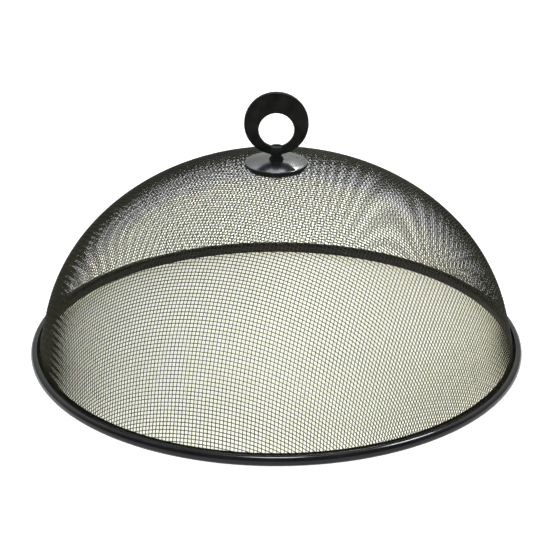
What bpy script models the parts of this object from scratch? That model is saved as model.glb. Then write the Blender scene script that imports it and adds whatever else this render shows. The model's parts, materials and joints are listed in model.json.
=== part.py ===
"""A domed mesh food cover: woven wire cloth on a rolled steel rim, lifted by a ring handle.

Lengths are in metres and +Z is up. The origin lies on the table, under the middle of the dome,
and the ring faces -Y.
"""

import math

import bmesh
import bpy
from mathutils import Matrix, Vector

# Clearances
SEAT_GAP = 0.0003  # between faces that touch on the real object
CUT_OVERRUN = 0.001  # how far every cutter runs past what it cuts
WELD = 0.000001

# Wire cloth
WIRE_DIAMETER = 0.00042
WIRE_PITCH = 0.00254  # ten wires to the inch
WIRES_PER_STRAND = 10  # one drawn strand of the net stands for this many woven wires
CLOTH_TURN = math.radians(-17)  # the weave's main direction, turned from the view
DOME_RISE = 0.1366  # from the cloth's edge to its top
FOOT_FLARE = 0.0032  # how far the cloth's foot is spread beyond the dome, to reach into the rim
FLARE_HEIGHT = 0.028  # height over which it is spread

# Rolled rim
RIM_DIAMETER = 0.350
RIM_HEIGHT = 0.0070
RIM_SHEET = 0.0006
RIM_ROLL_WIDTH = 0.0047  # from the outside of the rim to the groove that takes the cloth
RIM_GROOVE = 0.0005  # open width of that groove, outside the cloth's foot
RIM_TOP_BEND = 0.0030
RIM_OUTER_BEND = 0.0030
RIM_INNER_BEND = 0.0012
RIM_FLANGE_BEND = 0.0008
RIM_LIP_RISE = 0.0046  # how far the inner lip stands above the cloth's edge
CORE_WIRE_DIAMETER = 0.0032

# Clamping discs
TOP_DISC_DIAMETER = 0.0437
INNER_DISC_DIAMETER = 0.0400
DISC_SHEET = 0.0008
TOP_DISC_CROWN = 0.0019
INNER_DISC_CROWN = 0.0012
TOP_DISC_SKIRT = 0.0021
INNER_DISC_SKIRT = 0.0016
DISC_EDGE_BEND = 0.0007

# Ring handle
RING_DIAMETER = 0.0440
RING_HOLE_SHARE = 0.55  # the hole's diameter, as a share of the ring's
RING_LOW_WALL = 0.0053  # under the hole, which is set low, where the pin goes through
RING_THICKNESS = 0.0044
RING_OUTER_ROUND = 0.0006
RING_INNER_ROUND = 0.0011
PIN_DIAMETER = 0.0020
PIN_FRONT_WALL = 0.0011  # metal left in front of the blind pin hole

# Post
POST_FOOT_DIAMETER = 0.0100
POST_WAIST_DIAMETER = 0.0075
POST_HEAD_DIAMETER = 0.0094
POST_FOOT_RIM = 0.0006  # height of the foot's straight edge
POST_NECK_HEIGHT = 0.0029  # from the foot to the narrowest place
POST_FLARE = 0.0009  # height over which the waist opens into the head
POST_BELOW_RING = 0.0032  # from the foot to the floor of the fork
POST_TOP_RISE = 0.0004  # how far the fork stands above the wall of the ring that it holds
POST_TOP_ROUND = 0.0007

# Fixing
STUD_DIAMETER = 0.0050
STUD_CHAMFER = 0.0005
STUD_PROUD = 0.0012  # thread that shows under the nut
WASHER_WIDTH = 0.0018
WASHER_THICKNESS = 0.0012
WASHER_SPLIT = math.radians(16)
NUT_ACROSS_FLATS = 0.0080
NUT_HEIGHT = 0.0040
NUT_CHAMFER = 0.0005

# Numbers of facets
RIM_STEPS = 64
BEND_STEPS = 3
TIGHT_BEND_STEPS = 2
WIRE_SIDES = 6
DISC_STEPS = 40
CROWN_STEPS = 3
RING_STEPS = 48
POST_STEPS = 32
FLARE_STEPS = 4
STUD_STEPS = 20
EDGE_STEPS = 2

# Sizes that follow from those above
RIM_RADIUS = RIM_DIAMETER / 2
CLOTH_FOOT_RADIUS = RIM_RADIUS - RIM_ROLL_WIDTH - RIM_GROOVE - WIRE_DIAMETER
CLOTH_RADIUS = CLOTH_FOOT_RADIUS - FOOT_FLARE
CLOTH_EDGE_Z = RIM_SHEET + RIM_INNER_BEND
NET_CELL = WIRES_PER_STRAND * WIRE_PITCH
NET_STRAND = NET_CELL * WIRE_DIAMETER / WIRE_PITCH  # keeps the cloth's real open share
TOP_CURVE_RADIUS = CLOTH_RADIUS**2 / DOME_RISE
EDGE_CURVE_RADIUS = DOME_RISE**2 / CLOTH_RADIUS
TOP_SAG = NET_CELL**2 / (8 * TOP_CURVE_RADIUS)  # how far straight strands lie inside the dome
LIP_SAG = (
    RIM_LIP_RISE * (NET_CELL - RIM_LIP_RISE) / (2 * EDGE_CURVE_RADIUS)
    + RIM_LIP_RISE * NET_CELL / (8 * CLOTH_RADIUS)
)
LIP_LEAN = FOOT_FLARE * (1 - (1 - RIM_LIP_RISE / FLARE_HEIGHT) ** 2)
LIP_CLEARANCE = WIRE_DIAMETER / 2 + SEAT_GAP + RIM_SHEET / 2
LIP_RADIUS = CLOTH_FOOT_RADIUS - LIP_CLEARANCE - LIP_LEAN - LIP_SAG
STUD_RADIUS = STUD_DIAMETER / 2
STUD_HOLE_RADIUS = STUD_RADIUS + SEAT_GAP
RING_HOLE_DIAMETER = RING_DIAMETER * RING_HOLE_SHARE
RING_HOLE_DROP = RING_DIAMETER / 2 - RING_HOLE_DIAMETER / 2 - RING_LOW_WALL
FORK_DEPTH = RING_LOW_WALL + SEAT_GAP + POST_TOP_RISE
POST_HEIGHT = POST_BELOW_RING + FORK_DEPTH
PIN_HOLE_RADIUS = PIN_DIAMETER / 2 + SEAT_GAP


def cloth_height(radius):
    """Height of the cloth's middle surface: a half ellipse turned about Z."""
    return CLOTH_EDGE_Z + DOME_RISE * math.sqrt(1 - (radius / CLOTH_RADIUS) ** 2)


def foot_spread(height):
    """How far the cloth lies outside that ellipse at a height, in a curve that starts softly."""
    return FOOT_FLARE * max(1 - (height - CLOTH_EDGE_Z) / FLARE_HEIGHT, 0) ** 2


# Heights of the pieces on the middle axis
TOP_SKIRT_Z = cloth_height(TOP_DISC_DIAMETER / 2) + WIRE_DIAMETER
TOP_CROWN_Z = TOP_SKIRT_Z + TOP_DISC_SKIRT + TOP_DISC_CROWN
INNER_SKIRT_Z = cloth_height(INNER_DISC_DIAMETER / 2) - TOP_SAG - WIRE_DIAMETER / 2 - SEAT_GAP
INNER_CROWN_Z = INNER_SKIRT_Z - INNER_DISC_SKIRT - INNER_DISC_CROWN
POST_Z = TOP_CROWN_Z + SEAT_GAP
RING_Z = POST_Z + POST_BELOW_RING + SEAT_GAP + RING_DIAMETER / 2
PIN_Z = RING_Z - RING_DIAMETER / 2 + RING_LOW_WALL / 2
WASHER_Z = INNER_CROWN_Z - SEAT_GAP - WASHER_THICKNESS
NUT_Z = WASHER_Z - SEAT_GAP - NUT_HEIGHT
STUD_LENGTH = POST_Z - NUT_Z + STUD_PROUD


def material(name, colour, roughness, metallic):
    paint = bpy.data.materials.new(name)
    paint.use_nodes = True
    shader = paint.node_tree.nodes["Principled BSDF"]
    shader.inputs["Base Color"].default_value = (*colour, 1)
    shader.inputs["Roughness"].default_value = roughness
    shader.inputs["Metallic"].default_value = metallic
    paint.diffuse_color = (*colour, 1)
    return paint


def add_object(name, shape, paint, location=(0, 0, 0), parent=None):
    """Makes one named object from a bmesh, shaded smooth except at sharp edges."""
    mesh = bpy.data.meshes.new(name)
    shape.to_mesh(mesh)
    shape.free()
    mesh.shade_smooth()
    mesh.set_sharp_from_angle(angle=math.radians(35))
    if paint:
        mesh.materials.append(paint)
    thing = bpy.data.objects.new(name, mesh)
    thing.location = location
    thing.parent = parent
    bpy.context.scene.collection.objects.link(thing)
    return thing


def cut_away(thing, name, shape, location=(0, 0, 0), operation="DIFFERENCE"):
    """Cuts a shape out of an object, or keeps only what lies inside the shape."""
    cutter = add_object(name, shape, None, location, thing)
    cutter.hide_render = True
    cutter.display_type = "WIRE"
    boolean = thing.modifiers.new(name, "BOOLEAN")
    boolean.operation = operation
    boolean.solver = "EXACT"
    boolean.object = cutter


def box(size):
    shape = bmesh.new()
    bmesh.ops.create_cube(shape, size=1, matrix=Matrix.Diagonal((*size, 1)))
    return shape


def rod(radius, start, end, steps):
    """A cylinder along Y, from one place on Y to another."""
    shape = bmesh.new()
    along_y = Matrix.Translation((0, (start + end) / 2, 0)) @ Matrix.Rotation(math.pi / 2, 4, "X")
    bmesh.ops.create_cone(
        shape, cap_ends=True, segments=steps, radius1=radius, radius2=radius,
        depth=end - start, matrix=along_y,
    )
    return shape


def arc(centre_r, centre_z, radius, start, end, steps=BEND_STEPS):
    """Points of a circular bend in a section, between two angles in degrees."""
    angles = [math.radians(start + (end - start) * i / steps) for i in range(steps + 1)]
    return [(centre_r + radius * math.cos(a), centre_z + radius * math.sin(a)) for a in angles]


def flare(start, end, steps=FLARE_STEPS):
    """Points of a soft S curve in a section, from one (radius, height) to another."""
    shares = [i / steps for i in range(steps + 1)]
    return [
        (start[0] + (end[0] - start[0]) * (1 - math.cos(math.pi * s)) / 2,
         start[1] + (end[1] - start[1]) * s)
        for s in shares
    ]


def sheet_section(path, thickness):
    """The closed outline of a bent sheet, half its thickness to each side of a path."""
    points = [Vector(point) for point in path]
    runs = [(b - a).normalized() for a, b in zip(points, points[1:])]
    sides = ([], [])
    for i, point in enumerate(points):
        before = runs[max(i - 1, 0)]
        after = runs[min(i, len(runs) - 1)]
        across = (before + after).normalized().orthogonal()
        reach = thickness / 2 / across.dot(before.orthogonal())
        sides[0].append(point + across * reach)
        sides[1].append(point - across * reach)
    return sides[0] + sides[1][::-1]


def turned(section, steps, closed=True):
    """A section in radius and height, turned once about Z. An open one has its ends on the axis."""
    shape = bmesh.new()
    verts = [shape.verts.new((radius, 0, height)) for radius, height in section]
    edges = [shape.edges.new(pair) for pair in zip(verts, verts[1:])]
    if closed:
        edges.append(shape.edges.new((verts[-1], verts[0])))
    bmesh.ops.spin(
        shape, geom=verts + edges, cent=(0, 0, 0), axis=(0, 0, 1), angle=math.tau, steps=steps
    )
    bmesh.ops.remove_doubles(shape, verts=shape.verts, dist=WELD)
    bmesh.ops.recalc_face_normals(shape, faces=shape.faces)
    return shape


def off_dome(point):
    """Zero on the cloth's middle surface, which goes on as a cylinder under its edge."""
    rise = max(point.z - CLOTH_EDGE_Z, 0) / DOME_RISE
    return (point.x**2 + point.y**2) / CLOTH_RADIUS**2 + rise**2 - 1


def dome_outward(point):
    rise = max(point.z - CLOTH_EDGE_Z, 0) / DOME_RISE**2
    return Vector((point.x / CLOTH_RADIUS**2, point.y / CLOTH_RADIUS**2, rise)) * 2


def swing_onto_dome(pivot, reach, ahead, side):
    """Swings an arm about a pivot, square to side, until its end lies on the dome."""
    down = ahead.cross(side).normalized()
    if down.dot(dome_outward(pivot)) > 0:
        down = -down
    angle = 0
    for _ in range(12):
        arm = (ahead * math.cos(angle) + down * math.sin(angle)) * reach
        turn = (down * math.cos(angle) - ahead * math.sin(angle)) * reach
        end = pivot + arm
        angle -= off_dome(end) / dome_outward(end).dot(turn)
    return end


def main_wire(direction, step):
    """Nodes on a wire that runs straight down the dome from its top."""
    side = direction.cross(Vector((0, 0, 1)))
    nodes = [Vector((0, 0, CLOTH_EDGE_Z + DOME_RISE))]
    ahead = direction
    while nodes[-1].z > CLOTH_EDGE_Z - 2 * NET_CELL:
        nodes.append(swing_onto_dome(nodes[-1], step, ahead, side))
        ahead = (nodes[-1] - nodes[-2]).normalized()
    return nodes


def net_quadrant(step):
    """Nodes of a net of wires that don't stretch, laid on a quarter of the dome.

    Both wires through a node keep the same step, so each node is fixed by three others: it lies
    one step from its two neighbours, across from the node behind them, and on the dome.
    """
    nodes = {(i, 0): node for i, node in enumerate(main_wire(Vector((1, 0, 0)), step))}
    nodes.update({(0, j): node for j, node in enumerate(main_wire(Vector((0, 1, 0)), step))})
    longest = max(i for i, j in nodes)
    for i in range(1, longest + 1):
        for j in range(1, longest + 1):
            one, other = nodes.get((i - 1, j)), nodes.get((i, j - 1))
            behind = nodes.get((i - 1, j - 1))
            if not (one and other and behind) or behind.z < CLOTH_EDGE_Z - NET_CELL:
                continue
            middle = (one + other) / 2
            reach = math.sqrt(step**2 - (one - middle).length_squared)
            ahead = (middle - behind).normalized()
            nodes[i, j] = swing_onto_dome(middle, reach, ahead, one - other)
    return nodes


def net_nodes(step):
    """Nodes on the whole dome: the quadrant, turned four times."""
    nodes = {}
    for (i, j), node in net_quadrant(step).items():
        for turn in range(4):
            nodes[i, j] = Matrix.Rotation(turn * math.pi / 2, 3, "Z") @ node
            i, j = -j, i
    return nodes


def net_cells(nodes):
    """One face for each cell that reaches above the cloth's edge, with a cell over the top."""
    shape = bmesh.new()
    verts = {}
    furthest = max(i for i, j in nodes)
    middles = range(-furthest - furthest % 2, furthest + 1, 2)
    for i in middles:
        for j in middles:
            corners = [(i - 1, j - 1), (i + 1, j - 1), (i + 1, j + 1), (i - 1, j + 1)]
            if not all(corner in nodes for corner in corners):
                continue
            if max(nodes[corner].z for corner in corners) < CLOTH_EDGE_Z + NET_STRAND / 2:
                continue
            for corner in corners:
                if corner not in verts:
                    verts[corner] = shape.verts.new(nodes[corner])
            shape.faces.new([verts[corner] for corner in corners])
    return shape


def trim_to_rim(shape):
    """Cuts the net level with its edge, and lays the cut along the round groove."""
    bmesh.ops.bisect_plane(
        shape, geom=shape.verts[:] + shape.edges[:] + shape.faces[:], dist=NET_STRAND / 2,
        plane_co=(0, 0, CLOTH_EDGE_Z), plane_no=(0, 0, 1), clear_inner=True,
    )
    edge = [e for e in shape.edges if e.is_boundary]
    bmesh.ops.subdivide_edges(shape, edges=edge, cuts=EDGE_STEPS - 1)
    for vert in shape.verts:
        if vert.is_boundary:
            outward = Vector((vert.co.x, vert.co.y)).normalized() * CLOTH_RADIUS
            vert.co = (outward.x, outward.y, CLOTH_EDGE_Z)


def spread_foot(shape):
    """Spreads the cloth's foot outwards, so that it reaches into the rim."""
    for vert in shape.verts:
        outward = Vector((vert.co.x, vert.co.y, 0)).normalized()
        vert.co += outward * foot_spread(vert.co.z)


def open_cells(shape):
    """Opens each cell that is wider than a strand, and leaves a strand between neighbours."""
    wide = [
        face for face in shape.faces
        if 2 * face.calc_area() / face.calc_perimeter() > NET_STRAND
    ]
    bmesh.ops.inset_individual(
        shape, faces=wide, thickness=NET_STRAND / 2, use_even_offset=True
    )
    bmesh.ops.delete(shape, geom=wide, context="FACES")


def build_cloth(paint):
    """The wire cloth, drawn as an open net with the weave's own lie and open share."""
    shape = net_cells(net_nodes(NET_CELL / 2))
    trim_to_rim(shape)
    spread_foot(shape)
    open_cells(shape)
    bmesh.ops.recalc_face_normals(shape, faces=shape.faces)
    bmesh.ops.rotate(shape, verts=shape.verts, matrix=Matrix.Rotation(CLOTH_TURN, 3, "Z"))
    cloth = add_object("wire_mesh_dome", shape, paint)
    body = cloth.modifiers.new("one wire thick", "SOLIDIFY")
    body.thickness = WIRE_DIAMETER
    body.offset = 0
    body.use_even_offset = True


def build_rim_hoop(paint):
    """A strip rolled to a hollow bead, open at a groove on top where the cloth goes in."""
    half = RIM_SHEET / 2
    top = RIM_HEIGHT - half
    wall = RIM_RADIUS - half
    flange = RIM_RADIUS - RIM_ROLL_WIDTH + half
    path = [(flange, top - 2 * RIM_FLANGE_BEND)]
    path += arc(flange + RIM_FLANGE_BEND, top - RIM_FLANGE_BEND, RIM_FLANGE_BEND, 180, 90, 1)
    path += arc(wall - RIM_TOP_BEND, top - RIM_TOP_BEND, RIM_TOP_BEND, 90, 0)
    path += arc(wall - RIM_OUTER_BEND, half + RIM_OUTER_BEND, RIM_OUTER_BEND, 0, -90)
    path += arc(LIP_RADIUS + RIM_INNER_BEND, half + RIM_INNER_BEND, RIM_INNER_BEND, -90, -180, 1)
    path += [(LIP_RADIUS, CLOTH_EDGE_Z + RIM_LIP_RISE)]
    add_object("rim_hoop", turned(sheet_section(path, RIM_SHEET), RIM_STEPS), paint)


def build_core_wire(paint):
    """The stiffening wire, lying in the rounded outer corner of the rim."""
    radius = CORE_WIRE_DIAMETER / 2
    middle = RIM_RADIUS - RIM_SHEET / 2 - RIM_OUTER_BEND
    height = RIM_SHEET + SEAT_GAP + radius
    section = arc(middle, height, radius, 0, 360, WIRE_SIDES)[:-1]
    add_object("rim_core_wire", turned(section, RIM_STEPS), paint)


def disc_section(diameter, crown, skirt):
    """Section of a pressed saucer, its crown up and its skirt's lower end at height zero."""
    half = DISC_SHEET / 2
    edge = diameter / 2 - half
    shoulder = edge - DISC_EDGE_BEND
    shares = [i / CROWN_STEPS for i in range(CROWN_STEPS)]
    radii = [STUD_HOLE_RADIUS + (shoulder - STUD_HOLE_RADIUS) * share for share in shares]
    path = [(r, skirt - half + crown * (1 - (r / shoulder) ** 2)) for r in radii]
    path += arc(shoulder, skirt - half - DISC_EDGE_BEND, DISC_EDGE_BEND, 90, 0, TIGHT_BEND_STEPS)
    path += [(edge, 0)]
    return sheet_section(path, DISC_SHEET)


def build_top_disc(paint):
    section = disc_section(TOP_DISC_DIAMETER, TOP_DISC_CROWN, TOP_DISC_SKIRT)
    add_object("top_disc", turned(section, DISC_STEPS), paint, (0, 0, TOP_SKIRT_Z))


def build_inner_disc(paint):
    """The backing disc: a saucer like the top one, hollow side up under the cloth."""
    section = disc_section(INNER_DISC_DIAMETER, INNER_DISC_CROWN, INNER_DISC_SKIRT)
    upside_down = [(radius, -height) for radius, height in section]
    add_object("inner_disc", turned(upside_down, DISC_STEPS), paint, (0, 0, INNER_SKIRT_Z))


def build_post(paint, axis):
    """A turned spool with a threaded stud below, and a fork above that takes the ring."""
    foot, waist = POST_FOOT_DIAMETER / 2, POST_WAIST_DIAMETER / 2
    head = POST_HEAD_DIAMETER / 2
    section = [
        (0, -STUD_LENGTH),
        (STUD_RADIUS - STUD_CHAMFER, -STUD_LENGTH),
        (STUD_RADIUS, STUD_CHAMFER - STUD_LENGTH),
        (STUD_RADIUS, 0),
        (foot, 0),
    ]
    section += flare((foot, POST_FOOT_RIM), (waist, POST_NECK_HEIGHT))
    section += flare((waist, POST_NECK_HEIGHT), (head, POST_NECK_HEIGHT + POST_FLARE))[1:]
    section += arc(head - POST_TOP_ROUND, POST_HEIGHT - POST_TOP_ROUND, POST_TOP_ROUND, 0, 90)
    section += [(0, POST_HEIGHT)]
    shape = turned(section, POST_STEPS, closed=False)
    post = add_object("handle_post", shape, paint, (0, 0, POST_Z), axis)
    fork_size = (
        POST_HEAD_DIAMETER + 2 * CUT_OVERRUN,
        RING_THICKNESS + 2 * SEAT_GAP,
        FORK_DEPTH + CUT_OVERRUN,
    )
    fork_middle = (0, 0, POST_BELOW_RING + (FORK_DEPTH + CUT_OVERRUN) / 2)
    cut_away(post, "fork_cut", box(fork_size), fork_middle)
    hole = rod(PIN_HOLE_RADIUS, PIN_FRONT_WALL - head, head + CUT_OVERRUN, STUD_STEPS)
    cut_away(post, "fork_pin_hole_cut", hole, (0, 0, PIN_Z - POST_Z))


def build_ring(paint, axis):
    """A flat ring on edge, its hole set low, with a cross hole through the thin wall."""
    shape = bmesh.new()
    facing = Matrix.Rotation(math.pi / 2, 4, "X")
    outer = bmesh.ops.create_circle(
        shape, segments=RING_STEPS, radius=RING_DIAMETER / 2, matrix=facing
    )["verts"]
    lowered = Matrix.Translation((0, 0, -RING_HOLE_DROP)) @ facing
    inner = bmesh.ops.create_circle(
        shape, segments=RING_STEPS, radius=RING_HOLE_DIAMETER / 2, matrix=lowered
    )["verts"]
    edges = {e for v in outer + inner for e in v.link_edges}
    bmesh.ops.bridge_loops(shape, edges=list(edges))
    bmesh.ops.translate(shape, verts=shape.verts, vec=(0, -RING_THICKNESS / 2, 0))
    grown = bmesh.ops.extrude_face_region(shape, geom=shape.faces[:])["geom"]
    back = [v for v in grown if isinstance(v, bmesh.types.BMVert)]
    bmesh.ops.translate(shape, verts=back, vec=(0, RING_THICKNESS, 0))
    bmesh.ops.recalc_face_normals(shape, faces=shape.faces)
    hole_middle = Vector((0, 0, -RING_HOLE_DROP))
    for size, inside in ((RING_OUTER_ROUND, False), (RING_INNER_ROUND, True)):
        corners = [
            e for e in shape.edges
            if e.calc_face_angle(0) > math.radians(60) and is_hole_edge(e, hole_middle) == inside
        ]
        bmesh.ops.bevel(
            shape, geom=corners, offset=size, segments=2, profile=0.5, affect="EDGES",
            clamp_overlap=True,
        )
    ring = add_object("handle_ring", shape, paint, (0, 0, RING_Z), axis)
    overrun = RING_THICKNESS / 2 + CUT_OVERRUN
    hole = rod(PIN_HOLE_RADIUS, -overrun, overrun, STUD_STEPS)
    cut_away(ring, "ring_pin_hole_cut", hole, (0, 0, PIN_Z - RING_Z))


def is_hole_edge(edge, hole_middle):
    """Whether an edge of the ring runs round its hole and not round its outside."""
    middle = (edge.verts[0].co + edge.verts[1].co) / 2
    away = Vector((middle.x - hole_middle.x, middle.z - hole_middle.z)).length
    return away < RING_HOLE_DIAMETER / 2 + RING_LOW_WALL / 2


def build_pin(paint, axis):
    """The cross pin, flush with the back of the fork and short of its front."""
    head = POST_HEAD_DIAMETER / 2
    shape = rod(PIN_DIAMETER / 2, PIN_FRONT_WALL + SEAT_GAP - head, head - SEAT_GAP, STUD_STEPS)
    add_object("ring_pin", shape, paint, (0, 0, PIN_Z), axis)


def build_lock_washer(paint, axis):
    """A flat spring washer, split on one side."""
    inner = STUD_HOLE_RADIUS
    shape = bmesh.new()
    corners = [
        (inner, 0), (inner + WASHER_WIDTH, 0),
        (inner + WASHER_WIDTH, WASHER_THICKNESS), (inner, WASHER_THICKNESS),
    ]
    face = shape.faces.new([shape.verts.new((x, 0, z)) for x, z in corners])
    bmesh.ops.spin(
        shape, geom=[face, *face.edges, *face.verts], cent=(0, 0, 0), axis=(0, 0, 1),
        angle=math.tau - WASHER_SPLIT, steps=STUD_STEPS,
    )
    bmesh.ops.recalc_face_normals(shape, faces=shape.faces)
    add_object("lock_washer", shape, paint, (0, 0, WASHER_Z), axis)


def build_nut(paint, axis):
    """A hex nut with its corners turned off above and below."""
    across_corners = NUT_ACROSS_FLATS / math.cos(math.pi / 6)
    shape = bmesh.new()
    bmesh.ops.create_cone(
        shape, cap_ends=True, segments=6, radius1=across_corners / 2,
        radius2=across_corners / 2, depth=NUT_HEIGHT,
        matrix=Matrix.Translation((0, 0, NUT_HEIGHT / 2)),
    )
    nut = add_object("fixing_nut", shape, paint, (0, 0, NUT_Z), axis)
    flat = NUT_ACROSS_FLATS / 2
    slope = NUT_CHAMFER / (across_corners / 2 - flat)
    narrow = flat - CUT_OVERRUN / slope
    wide = across_corners / 2 + CUT_OVERRUN
    wide_z = (wide - flat) * slope
    rounding = [
        (0, -CUT_OVERRUN), (narrow, -CUT_OVERRUN), (wide, wide_z), (wide, NUT_HEIGHT - wide_z),
        (narrow, NUT_HEIGHT + CUT_OVERRUN), (0, NUT_HEIGHT + CUT_OVERRUN),
    ]
    cut_away(nut, "nut_corner_cut", turned(rounding, STUD_STEPS, closed=False), operation="INTERSECT")
    bore = [
        (0, -CUT_OVERRUN), (STUD_HOLE_RADIUS, -CUT_OVERRUN),
        (STUD_HOLE_RADIUS, NUT_HEIGHT + CUT_OVERRUN), (0, NUT_HEIGHT + CUT_OVERRUN),
    ]
    cut_away(nut, "nut_bore_cut", turned(bore, STUD_STEPS, closed=False))


def main():
    for thing in list(bpy.data.objects):
        bpy.data.objects.remove(thing)
    wire = material("coated wire", (0.014, 0.014, 0.012), 0.45, 0.0)
    gloss = material("gloss black enamel", (0.012, 0.012, 0.014), 0.18, 0.0)
    saucer = material("polished black enamel", (0.012, 0.012, 0.013), 0.08, 0.0)
    satin = material("satin black", (0.010, 0.010, 0.010), 0.42, 0.0)
    steel = material("bright steel", (0.45, 0.45, 0.45), 0.35, 1.0)
    zinc = material("zinc plate", (0.50, 0.50, 0.48), 0.38, 1.0)
    build_cloth(wire)
    build_rim_hoop(gloss)
    build_core_wire(steel)
    build_top_disc(saucer)
    build_inner_disc(gloss)
    axis = bpy.data.objects.new("handle_axis", None)
    bpy.context.scene.collection.objects.link(axis)
    build_post(satin, axis)
    build_ring(satin, axis)
    build_pin(steel, axis)
    build_lock_washer(zinc, axis)
    build_nut(zinc, axis)


main()
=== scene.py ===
"""A domed mesh food cover in a plain studio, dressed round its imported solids.

Run as a script in Blender. Every piece has an operator of its own, and the panel lists them.
Lengths are in metres, +Z is up, and the ring handle faces -Y.
"""

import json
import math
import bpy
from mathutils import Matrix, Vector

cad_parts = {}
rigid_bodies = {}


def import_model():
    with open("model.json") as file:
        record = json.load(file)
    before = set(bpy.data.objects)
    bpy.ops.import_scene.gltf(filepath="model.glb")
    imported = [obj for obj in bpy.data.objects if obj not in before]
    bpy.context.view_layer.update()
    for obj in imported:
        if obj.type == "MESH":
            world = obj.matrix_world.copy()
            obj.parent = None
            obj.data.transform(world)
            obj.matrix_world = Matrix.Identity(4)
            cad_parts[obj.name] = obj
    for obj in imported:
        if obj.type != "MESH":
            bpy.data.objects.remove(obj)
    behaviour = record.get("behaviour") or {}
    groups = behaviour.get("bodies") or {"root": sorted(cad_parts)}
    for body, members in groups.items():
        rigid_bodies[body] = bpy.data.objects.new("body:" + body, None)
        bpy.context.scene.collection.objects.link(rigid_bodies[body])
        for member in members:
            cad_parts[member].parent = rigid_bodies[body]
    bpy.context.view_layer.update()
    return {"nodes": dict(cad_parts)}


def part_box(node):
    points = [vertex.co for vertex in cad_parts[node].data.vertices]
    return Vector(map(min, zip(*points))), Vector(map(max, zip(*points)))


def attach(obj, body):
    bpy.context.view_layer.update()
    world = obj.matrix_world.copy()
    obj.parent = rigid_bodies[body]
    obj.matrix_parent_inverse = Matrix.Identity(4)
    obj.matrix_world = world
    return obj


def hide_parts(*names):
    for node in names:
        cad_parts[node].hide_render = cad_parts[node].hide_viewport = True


bl_info = {
    "name": "Mesh Food Cover",
    "version": (1, 0, 0),
    "blender": (4, 5, 0),
    "location": "View3D > Sidebar > Food Cover",
    "description": "Builds a woven-wire food cover, its rim, its ring handle and a plain studio",
    "category": "Add Mesh",
}

import bmesh
import bpy
import numpy as np
from mathutils import Vector

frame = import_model()

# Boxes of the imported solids, which give the pieces their places
RIM_LOW, RIM_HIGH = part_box("rim_hoop")
TOP_DISC_LOW, TOP_DISC_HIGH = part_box("top_disc")
INNER_DISC_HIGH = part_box("inner_disc")[1]
POST_LOW, POST_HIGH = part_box("handle_post")
RING_LOW, RING_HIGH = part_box("handle_ring")
PIN_LOW, PIN_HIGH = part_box("ring_pin")
WASHER_LOW, WASHER_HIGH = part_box("lock_washer")
NUT_LOW, NUT_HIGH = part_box("fixing_nut")

MERGE = 1e-7  # points closer than this are one
CUT_MERGE = 3e-6  # the same, along the edges that a cut leaves

# Numbers of steps in the curved surfaces
RIM_STEPS = 240
BEND_STEPS = 8
END_STEPS = 4
DISC_STEPS = 128
CROWN_STEPS = 14
RING_STEPS = 160
ROUND_STEPS = 5
POST_STEPS = 96
FLARE_STEPS = 16
NUT_STEPS = 96
WASHER_STEPS = 72
WASHER_ROUND_STEPS = 3
THREAD_STEPS = 36
ROWS_PER_THREAD = 8
PIN_STEPS = 40
WIRE_SIDES = 6
MERIDIAN_STEPS = 20000
CROSSINGS_BELOW = 4  # laid past the cloth's edge, so that every wire reaches it
NEWTON_ROUNDS = 8

# Angles in degrees
SHARP = 40  # faces that meet at more than this have a sharp edge between them
CLOTH_SHARP = 70
CUT_SHARP = 30
THREAD_SHARP = 60
WASHER_SHARP = 50
NUT_SHARP = 25
BROKEN = 50  # cut edges sharper than this are broken by a bevel
NUT_CONE = 30  # slope of the nut's chamfer

BROKEN_EDGE_STEPS = 2
BORE_SHARE = 1.03  # radius of a hole for the pin, as a share of the pin's
PIN_ROUND_SHARE = 0.12  # rounding of the pin's ends, as a share of its radius
THREAD_FLAT_SHARE = 0.15  # what is cut off the thread's crests and roots


def length(name, description, default):
    """A property for a size in metres."""
    return bpy.props.FloatProperty(
        name=name, description=description, default=default, min=0, precision=5,
        subtype="DISTANCE", unit="LENGTH",
    )


def angle(name, description, degrees):
    """A property for an angle."""
    return bpy.props.FloatProperty(
        name=name, description=description, default=math.radians(degrees),
        subtype="ANGLE", unit="ROTATION",
    )


def colour(name, description, default):
    """A property for a linear colour."""
    return bpy.props.FloatVectorProperty(
        name=name, description=description, default=default, min=0, max=1,
        subtype="COLOR", size=3,
    )


def share(name, description, default):
    """A property for a share or another plain number."""
    return bpy.props.FloatProperty(name=name, description=description, default=default, min=0)


class FOODCOVER_PG_cloth(bpy.types.PropertyGroup):
    """Sizes and colours of the wire cloth"""

    wire_diameter: length("Wire", "Thickness of one woven wire", 0.00047)
    wire_pitch: length("Pitch", "From one wire to the next, along the other wires", 0.00254)
    rise: length("Rise", "From the cloth's edge in the rim to its top", 0.1366)
    foot_flare: length("Foot flare", "How far the cloth's foot spreads into the rim", 0.0032)
    flare_height: length("Flare height", "Height over which the foot spreads", 0.028)
    turn: angle("Turn", "Main direction of the weave, turned about Z", -17)
    hole_radius: length("Stud hole", "Radius of the hole punched at the top", 0.0036)
    paint: colour("Coating", "Colour of the coating", (0.005, 0.005, 0.003))
    pale_paint: colour("Pale coating", "Colour where the coating is thin", (0.014, 0.014, 0.008))
    bare: colour("Bare wire", "Colour of steel where the coating is rubbed", (0.08, 0.08, 0.06))
    sheen: colour("Sheen", "Colour of the coating's sheen", (1.0, 0.98, 0.62))


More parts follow.
